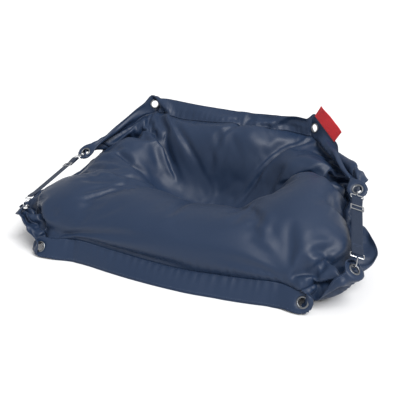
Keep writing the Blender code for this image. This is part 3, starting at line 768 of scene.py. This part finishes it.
def steel_material(name, bright, dark, rough_low, rough_high):
    """Plated steel with fine scratches and dull patches."""
    r = Recipe(name, Metallic=1.0)
    at = r.place()
    patches = r.noise(at, 60.0, 4.0, 0.6)
    stretched = r.node("ShaderNodeMapping", {"Vector": at, "Scale": (900.0, 140.0, 300.0)}).outputs["Vector"]
    scratches = r.noise(stretched, 1.0, 2.0)
    base = r.mixed(patches, bright, dark)
    worn = r.math("ADD", patches, r.math("MULTIPLY", scratches, 0.6))
    rough = r.ranged(worn, 0.5, 1.1, rough_low, rough_high)
    return r.finish(base, rough, r.bump(scratches, 0.00008, 0.5))


def floor_material():
    r = Recipe("studio_floor", Specular_IOR_Level=0.2)
    speck = r.noise(r.place(), 3.0)
    base = r.mixed(speck, (0.90, 0.90, 0.91), (0.92, 0.92, 0.92))
    return r.finish(base, r.ranged(speck, 0.0, 1.0, 0.7, 0.8))


# ---- pieces -----------------------------------------------------------------------------------------
def piece(name, mesh, material, body, nodes=()):
    obj = add_object(name, mesh)
    mesh.materials.clear()
    mesh.materials.append(material)
    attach(obj, body)
    if nodes:
        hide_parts(*nodes)
    return obj


def applied(name, mesh, *modifiers):
    """The mesh with these modifiers applied; each is (kind, settings)."""
    obj = add_object("work_" + name, mesh)
    for kind, settings in modifiers:
        modifier = obj.modifiers.new(kind.lower(), kind)
        for key, value in settings.items():
            setattr(modifier, key, value)
    out = evaluated(obj)
    out.name = name
    delete_object(obj)
    return out


def mesh_from(name, points, faces):
    mesh = bpy.data.meshes.new(name)
    mesh.from_pydata(np.asarray(points).tolist(), [], [list(map(int, face)) for face in faces])
    mesh.update()
    return smooth(mesh)


def spread(cover, co, points):
    """Points on the cover's top grid for flat points, by bilinear interpolation."""
    grid = co[cover.top]
    i = np.clip(np.searchsorted(cover.xs, points[:, 0]) - 1, 0, len(cover.xs) - 2)
    j = np.clip(np.searchsorted(cover.ys, points[:, 1]) - 1, 0, len(cover.ys) - 2)
    s = ((points[:, 0] - cover.xs[i]) / (cover.xs[i + 1] - cover.xs[i]))[:, None]
    t = ((points[:, 1] - cover.ys[j]) / (cover.ys[j + 1] - cover.ys[j]))[:, None]
    low = grid[j, i] * (1 - s) + grid[j, i + 1] * s
    return low * (1 - t) + (grid[j + 1, i] * (1 - s) + grid[j + 1, i + 1] * s) * t


def ring_faces(rings, sides):
    """Quads between rings of points and a cap at each end."""
    faces = []
    for r in range(rings - 1):
        for k in range(sides):
            after = (k + 1) % sides
            faces.append([r * sides + k, r * sides + after, (r + 1) * sides + after, (r + 1) * sides + k])
    return faces + [list(range(sides))[::-1], [(rings - 1) * sides + k for k in range(sides)]]


def capsules(name, centres, along, up, length, radius):
    """One mesh of short rounded stitches."""
    along = along / np.linalg.norm(along, axis=1)[:, None]
    side = np.cross(along, up)
    side = side / np.linalg.norm(side, axis=1)[:, None]
    up = np.cross(side, along)
    rings = ((-0.5, 0.35), (-0.36, 1.0), (0.36, 1.0), (0.5, 0.35))
    sides = 6
    points = []
    for share, size in rings:
        for k in range(sides):
            turn = 2 * math.pi * k / sides
            away = side * math.cos(turn) + up * math.sin(turn)
            points.append(centres + along * (length * share) + away * (radius * size))
    points = np.stack(points, axis=1)
    pattern = ring_faces(len(rings), sides)
    count = len(rings) * sides
    faces = [[n * count + k for k in face] for n in range(len(centres)) for face in pattern]
    return mesh_from(name, points.reshape(-1, 3), faces)


def loop_at(inset, pitch, spots, clear):
    """Flat points and directions of stitches all round the cover, that far inside its edge."""
    x, y = FLAT_WIDTH / 2 - inset, FLAT_DEPTH - 2 * inset
    corners = np.array(((-x, inset), (x, inset), (x, inset + y), (-x, inset + y)))
    corners[:, 1] += FLAT_FRONT_Y
    points, ways = [], []
    for a, b in zip(corners, np.roll(corners, -1, axis=0)):
        count = int(np.linalg.norm(b - a) / pitch)
        share = (np.arange(count) + 0.5) / count
        points.append(a + (b - a) * share[:, None])
        ways.append(np.tile((b - a) / np.linalg.norm(b - a), (count, 1)))
    points, ways = np.concatenate(points), np.concatenate(ways)
    keep = np.ones(len(points), bool)
    for spot in spots:
        keep &= np.hypot(*(points - spot[:2]).T) > clear
    return points[keep], ways[keep]


def stitch_row(name, cover, co, inset, pitch, spots, material):
    """A row of lockstitches that shows on both faces of the hem."""
    flat, way = loop_at(inset, pitch, spots, 0.028)
    step = 0.0025
    centre = spread(cover, co, flat)
    along = spread(cover, co, flat + way * step) - spread(cover, co, flat - way * step)
    turned = np.stack([-way[:, 1], way[:, 0]], axis=1)
    across = spread(cover, co, flat + turned * step) - spread(cover, co, flat - turned * step)
    up = np.cross(along, across)
    up = up / np.linalg.norm(up, axis=1)[:, None]
    lift = HEM_THICKNESS / 2 + 0.0002
    centres = np.concatenate([centre + up * lift, centre - up * lift])
    along, up = np.tile(along, (2, 1)), np.concatenate([up, -up])
    tree = hook_tree()
    keep = np.array([tree.find(point)[2] > STITCH_ROOM for point in centres])
    mesh = capsules(name, centres[keep], along[keep], up[keep], pitch * 0.72, 0.0006)
    return piece(name, mesh, material, "bag")


def make_stuffed_cover(cover, co, material):
    mesh = smooth(cover_mesh("stuffed_cover", cover, co, ("top", "bottom")))
    nodes = ("top_panel", "bottom_panel", "bean_filling")
    obj = piece("stuffed_cover", mesh, material, "bag", nodes)
    return obj


def make_hem(cover, co, holds, material):
    """The flange outside the seam, two layers thick, with a round hole for each eyelet."""
    co = co.copy()
    faces = cover.faces("hem")
    for name, patch in holds.items():
        spot = eyelet_spot(name, patch)
        away = cover.flat - spot
        far = np.hypot(away[:, 0], away[:, 1])
        hole = far < EYELET_HOLE_R + 0.0015
        cut = hole[faces].any(axis=1)
        rim = np.setdiff1d(np.intersect1d(faces[cut], faces[~cut]), np.nonzero(hole)[0])
        faces = faces[~cut]
        onto = spot + away[rim] / far[rim][:, None] * EYELET_HOLE_R
        co[rim] = placed(patch, onto)
    mesh = flat_mesh("hem_flat", cover, co, faces)
    mesh = smooth(applied("hem", smooth(mesh), ("SOLIDIFY", {"thickness": HEM_THICKNESS, "offset": 0.0})))
    nodes = ("front_hem", "back_hem", "left_hem", "right_hem")
    return piece("hem", mesh, material, "bag", nodes)


def tube(name, points, radius, cyclic):
    curve = bpy.data.curves.new(name, "CURVE")
    curve.dimensions = "3D"
    curve.bevel_depth = radius
    curve.bevel_resolution = 2
    curve.use_fill_caps = not cyclic
    spline = curve.splines.new("POLY")
    spline.points.add(len(points) - 1)
    spline.points.foreach_set("co", np.hstack([points, np.ones((len(points), 1))]).ravel())
    spline.use_cyclic_u = cyclic
    obj = add_object("work_" + name, curve)
    mesh = evaluated(obj)
    mesh.name = name
    delete_object(obj)
    return smooth(mesh)


def make_hem_edge(cover, co, material):
    """The folded edge of the hem, a little thicker than the flange."""
    grid = cover.top
    loop = np.concatenate([grid[0, :-1], grid[:-1, -1], grid[-1, :0:-1], grid[:0:-1, 0]])
    mesh = tube("hem_edge", co[loop], 0.0024, True)
    return piece("hem_edge", mesh, material, "bag")


def grid_faces(rows, columns):
    index = np.arange(rows * columns).reshape(rows, columns)
    return np.stack([index[:-1, :-1], index[:-1, 1:], index[1:, 1:], index[1:, :-1]], axis=-1).reshape(-1, 4)


def weave_attribute(mesh, values):
    attribute = mesh.attributes.new("weave", "FLOAT_VECTOR", "POINT")
    attribute.data.foreach_set("vector", np.asarray(values).ravel())


def make_label(patch, material, thread):
    """A plain red tab, sewn by its long edge to the hem and bowed a little by its own weight."""
    rows, columns = 17, 47
    e = np.linspace(-0.003, LABEL_LENGTH - 0.005, columns)
    a = np.linspace(-0.005, 0.0625, rows)
    gx, gy = np.meshgrid(e, a)
    flat = np.stack([gx, gy, np.zeros_like(gx)], axis=-1).reshape(-1, 3)
    free = np.clip(flat[:, 1] / 0.0625, 0.0, 1.0)
    bow = 0.0045 * free ** 2 * np.cos(flat[:, 0] / LABEL_LENGTH * 5.0)
    bow = bow + 0.0012 * free * np.sin(flat[:, 0] * 70)
    local = flat.copy()
    local[:, 2] = bow + 0.0024 * (1 - free)
    points = placed(patch, local + np.array(patch.flat))
    mesh = mesh_from("label_flat", points, grid_faces(rows, columns))
    weave_attribute(mesh, flat)
    mesh = smooth(applied("label", mesh, ("SOLIDIFY", {"thickness": 0.0012, "offset": 0.0})))
    obj = piece("label", mesh, material, "bag", ("label_tab",))
    grid = points.reshape(rows, columns, 3)
    lines = [grid[1, 1:-1], grid[-2, 1:-1], grid[1:-1, 1], grid[1:-1, -2]]
    starts = np.concatenate([line[:-1] for line in lines])
    ends = np.concatenate([line[1:] for line in lines])
    z = np.tile(np.array(patch.turn.col[2]), (len(starts), 1))
    middle = (starts + ends) / 2
    both = np.concatenate([middle + z * 0.0008, middle - z * 0.0008])
    along = np.tile(ends - starts, (2, 1))
    mesh = capsules("label_stitches", both, along, np.concatenate([z, -z]), 0.0029, 0.00035)
    stitches = piece("label_stitches", mesh, thread, "bag")
    return obj


# ---- straps -----------------------------------------------------------------------------------------
WEBBING_WIDTH = 0.050
WEBBING_THICKNESS = 0.002
WIRE_R = 0.0025
ADJUSTER_FROM_UPPER_BAR = 0.062


class Strap:
    """Line of a strap between its two hook bars, from the joints the hooks swing on."""

    def __init__(self, side):
        joints = {joint["name"]: joint for joint in frame["joints"]}
        lower = joints[side + "_lower_hook_swing"]
        upper = joints[side + "_upper_hook_swing"]
        self.side = side
        self.start = Vector(lower["pos_m"])
        reach = Vector(upper["pos_m"]) - self.start
        self.length = reach.length
        self.along = reach.normalized()
        width = Vector(lower["axis"])
        self.face = width.cross(self.along).normalized()
        if self.face.z < 0:
            self.face = -self.face
        self.width = self.along.cross(self.face)

    def point(self, s, h):
        return self.start + self.along * s + self.face * h


def arc(centre, start, end, radius, steps):
    turns = [math.radians(start + (end - start) * k / steps) for k in range(steps + 1)]
    return [(centre[0] + radius * math.cos(t), centre[1] + radius * math.sin(t)) for t in turns]


def refined(path, step):
    out = [path[0]]
    for (s0, h0), (s1, h1) in zip(path, path[1:]):
        count = max(1, int(math.hypot(s1 - s0, h1 - h0) / step))
        out += [(s0 + (s1 - s0) * k / count, h0 + (h1 - h0) * k / count) for k in range(1, count + 1)]
    return np.array(out)


def ribbon(name, strap, path):
    """Webbing with rounded selvedges along a path of (distance, height), with weave coordinates."""
    path = refined(path, 0.005)
    tangent = np.gradient(path, axis=0)
    tangent /= np.linalg.norm(tangent, axis=1)[:, None]
    run = np.concatenate([[0.0], np.cumsum(np.linalg.norm(np.diff(path, axis=0), axis=1))])
    half, thick = WEBBING_WIDTH / 2, WEBBING_THICKNESS / 2
    section = [(-half + 0.0006, thick), (-half * 0.55, thick * 0.86), (0.0, thick * 0.9),
               (half * 0.55, thick * 0.86), (half - 0.0006, thick)]
    section += [(half, thick * 0.45), (half, -thick * 0.45)]
    section += [(-w, -t) for w, t in section[:5]] + [(-half, -thick * 0.45), (-half, thick * 0.45)]
    points, weave = [], []
    for (s, h), (ds, dh), distance in zip(path, tangent, run):
        for w, t in section:
            place = strap.point(s - dh * t, h + ds * t) + strap.width * w
            points.append(place)
            weave.append((distance, w, 0.0))
    mesh = mesh_from(name, points, ring_faces(len(path), len(section)))
    weave_attribute(mesh, weave)
    return mesh


def outward(mesh):
    bm = bmesh.new()
    bm.from_mesh(mesh)
    bmesh.ops.recalc_face_normals(bm, faces=bm.faces)
    bm.to_mesh(mesh)
    bm.free()
    return mesh


def box_stitches(name, strap, middle, material):
    """The square with a cross in it that holds a webbing loop closed."""
    half_s, half_w = 0.0115, 0.018
    corners = [(-half_s, -half_w), (half_s, -half_w), (half_s, half_w), (-half_s, half_w)]
    lines = [(corners[k], corners[(k + 1) % 4]) for k in range(4)]
    lines += [(corners[0], corners[2]), (corners[1], corners[3])]
    centres, along = [], []
    for (s0, w0), (s1, w1) in lines:
        count = int(math.hypot(s1 - s0, w1 - w0) / 0.0032)
        for k in range(count):
            share = (k + 0.5) / count
            s, w = s0 + (s1 - s0) * share, w0 + (w1 - w0) * share
            centres.append(strap.point(middle + s, WEBBING_THICKNESS / 2) + strap.width * w)
            along.append(strap.along * (s1 - s0) + strap.width * (w1 - w0))
    up = np.tile(np.array(strap.face), (len(centres), 1))
    mesh = capsules(name, np.array(centres), np.array(along), up, 0.0026, 0.00045)
    return piece(name, mesh, material, strap.side + "_strap")


def make_strap(side, webbing, thread):
    strap = Strap(side)
    wrap = WIRE_R + 0.0005 + WEBBING_THICKNESS / 2
    length = strap.length
    adjuster = length - ADJUSTER_FROM_UPPER_BAR
    path = [(0.052, -0.0021), (0.020, -0.0030)]
    path += arc((0.0, 0.0), -90, -270, wrap, 12)
    path += [(0.020, 0.0022), (0.036, 0.0), (length - 0.036, 0.0), (length - 0.020, 0.0022)]
    path += arc((length, 0.0), 90, -90, wrap, 12)
    path += [(length - 0.006, -0.0042)]
    name = side + "_webbing"
    mesh = outward(ribbon(name, strap, path))
    piece(name, mesh, webbing, side + "_strap", (side + "_strap_webbing",))
    back = [(length - 0.004, -0.0044), (length - 0.020, -0.0050)]
    back += [(adjuster + 0.020, -0.0053), (adjuster + 0.002, -0.0056)]
    name = side + "_webbing_return"
    back_piece = add_object(name, outward(ribbon(name, strap, back)))
    back_piece.data.materials.append(webbing)
    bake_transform(back_piece)
    box_stitches(side + "_webbing_stitches", strap, 0.038, thread)


# ---- zip --------------------------------------------------------------------------------------------
def make_zip(webbing, teeth_material, thread):
    low, high = (np.array(corner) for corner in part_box("zip_tape"))
    middle = (low + high) / 2
    right = np.array((1.0, 0.0, 0.0))
    rise = np.array(Vector((0.0, high[1] - low[1], high[2] - low[2])).normalized())
    out = np.array((0.0, rise[2], -rise[1]))
    half_x, half_up = high[0], 0.0148
    rows, columns = 13, 93
    gx, gv = np.meshgrid(np.linspace(-half_x, half_x, columns), np.linspace(-half_up, half_up, rows))
    raised = 0.0004 + 0.0005 * np.exp(-(gv / 0.004) ** 2)
    raised = raised + 0.0003 * np.sin(gx * 190) * (np.abs(gv) / half_up)
    points = middle + gx[..., None] * right + gv[..., None] * rise + raised[..., None] * out
    mesh = mesh_from("zip_cloth_flat", points.reshape(-1, 3), grid_faces(rows, columns))
    weave_attribute(mesh, np.stack([gx, gv, np.zeros_like(gx)], axis=-1).reshape(-1, 3))
    mesh = outward(smooth(applied("zip_cloth", mesh, ("SOLIDIFY", {"thickness": 0.0008, "offset": 0.0}))))
    cloth = piece("zip_cloth", mesh, webbing, "bag", ("zip_tape",))
    pitch, chain_half = 0.0026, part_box("zip_chain")[1][0]
    xs = np.arange(-chain_half + pitch, chain_half - pitch, pitch)
    sign = np.where(np.arange(len(xs)) % 2 == 0, 1.0, -1.0)
    centres = middle + xs[:, None] * right + (sign * 0.0008)[:, None] * rise + 0.0021 * out
    along = np.tile(rise, (len(xs), 1))
    up = np.tile(out, (len(xs), 1))
    teeth = capsules("zip_teeth", centres, along, up, 0.0044, 0.0009)
    piece("zip_teeth", teeth, teeth_material, "bag", ("zip_chain",))
    rows_at = []
    for v in (-0.0115, 0.0115):
        count = int(2 * half_x / 0.005)
        x = (np.arange(count) + 0.5) / count * 2 * half_x - half_x
        rows_at.append(middle + x[:, None] * right + v * rise + 0.0009 * out)
    centres = np.concatenate(rows_at)
    along = np.tile(right, (len(centres), 1))
    up = np.tile(out, (len(centres), 1))
    mesh = capsules("zip_stitches", centres, along, up, 0.0036, 0.0005)
    stitches = piece("zip_stitches", mesh, thread, "bag")


# ---- metal parts of the frame -----------------------------------------------------------------------
def dress_metal(bright, dull):
    for name, node in frame["nodes"].items():
        if name.startswith(("eyelet_", "washer_")):
            material = dull
        elif name.endswith(("_hook", "_adjuster")) or name == "zip_slider":
            material = bright
        else:
            continue
        node.data.materials.clear()
        node.data.materials.append(material)
        if name.endswith("_adjuster"):
            edges = node.modifiers.new("edges", "BEVEL")
            edges.width = 0.0003
            edges.segments = 2


# ---- room, light and camera -------------------------------------------------------------------------
def make_floor(material):
    bpy.ops.mesh.primitive_plane_add(size=200.0)
    floor = bpy.context.object
    floor.name = "studio_floor"
    floor.data.materials.append(material)


def soft_sun(name, source, strength, spread_degrees):
    """Light from the direction of source, as even over the floor as a large studio softbox."""
    data = bpy.data.lights.new(name, "SUN")
    data.energy = strength
    data.angle = math.radians(spread_degrees)
    obj = add_object(name, data)
    obj.location = source
    obj.rotation_euler = (-Vector(source)).to_track_quat("-Z", "Y").to_euler()
    return obj


def light_room():
    world = bpy.data.worlds.new("studio")
    world.use_nodes = True
    world.node_tree.nodes["Background"].inputs["Color"].default_value = (1.0, 1.0, 1.0, 1.0)
    world.node_tree.nodes["Background"].inputs["Strength"].default_value = 0.6
    scene.world = world
    soft_sun("key", (1.7, -1.1, 2.6), 2.9, 38.0)


def place_camera():
    azimuth, elevation, distance = math.radians(24.5), math.radians(20.5), 3.2
    back = Vector((math.sin(azimuth) * math.cos(elevation), -math.cos(azimuth) * math.cos(elevation),
                   math.sin(elevation)))
    data = bpy.data.cameras.new("camera")
    data.sensor_width = 36.0
    data.lens = 57.6
    camera = add_object("camera", data)
    camera.location = Vector((-0.056, 0.057, 0.185)) + back * distance
    camera.rotation_euler = back.to_track_quat("Z", "Y").to_euler()
    scene.camera = camera


# ---- the whole chair --------------------------------------------------------------------------------
def build_chair():
    holds = patches()
    cover, co = simulate_cover()
    cover, co = shape_cover(cover, co, holds)
    fabric = cover_material()
    thread = thread_material("navy_thread", (0.022, 0.042, 0.095))
    webbing = webbing_material()
    spots = [eyelet_spot(name, patch) for name, patch in holds.items()]
    make_stuffed_cover(cover, co, fabric)
    hem = make_hem(cover, co, holds, fabric)
    edge = make_hem_edge(cover, co, fabric)
    inner = stitch_row("inner_stitches", cover, co, HEM_WIDTH - 0.006, 0.0085, spots, thread)
    outer = stitch_row("outer_stitches", cover, co, 0.009, 0.0085, spots, thread)
    red_thread = thread_material("red_thread", (0.36, 0.012, 0.014))
    make_label(holds["back_right_free"], label_material(), red_thread)
    for side in ("left", "right"):
        make_strap(side, webbing, thread)
    bright = steel_material("plated_steel", (0.70, 0.71, 0.72), (0.50, 0.51, 0.52), 0.22, 0.42)
    dull = steel_material("dull_eyelet_steel", (0.26, 0.27, 0.29), (0.15, 0.16, 0.17), 0.30, 0.50)
    make_zip(webbing, thread_material("zip_tooth_plastic", (0.018, 0.032, 0.072)), thread)
    dress_metal(bright, dull)
    make_floor(floor_material())


build_chair()
light_room()
place_camera()
scene.view_settings.view_transform = "Standard"
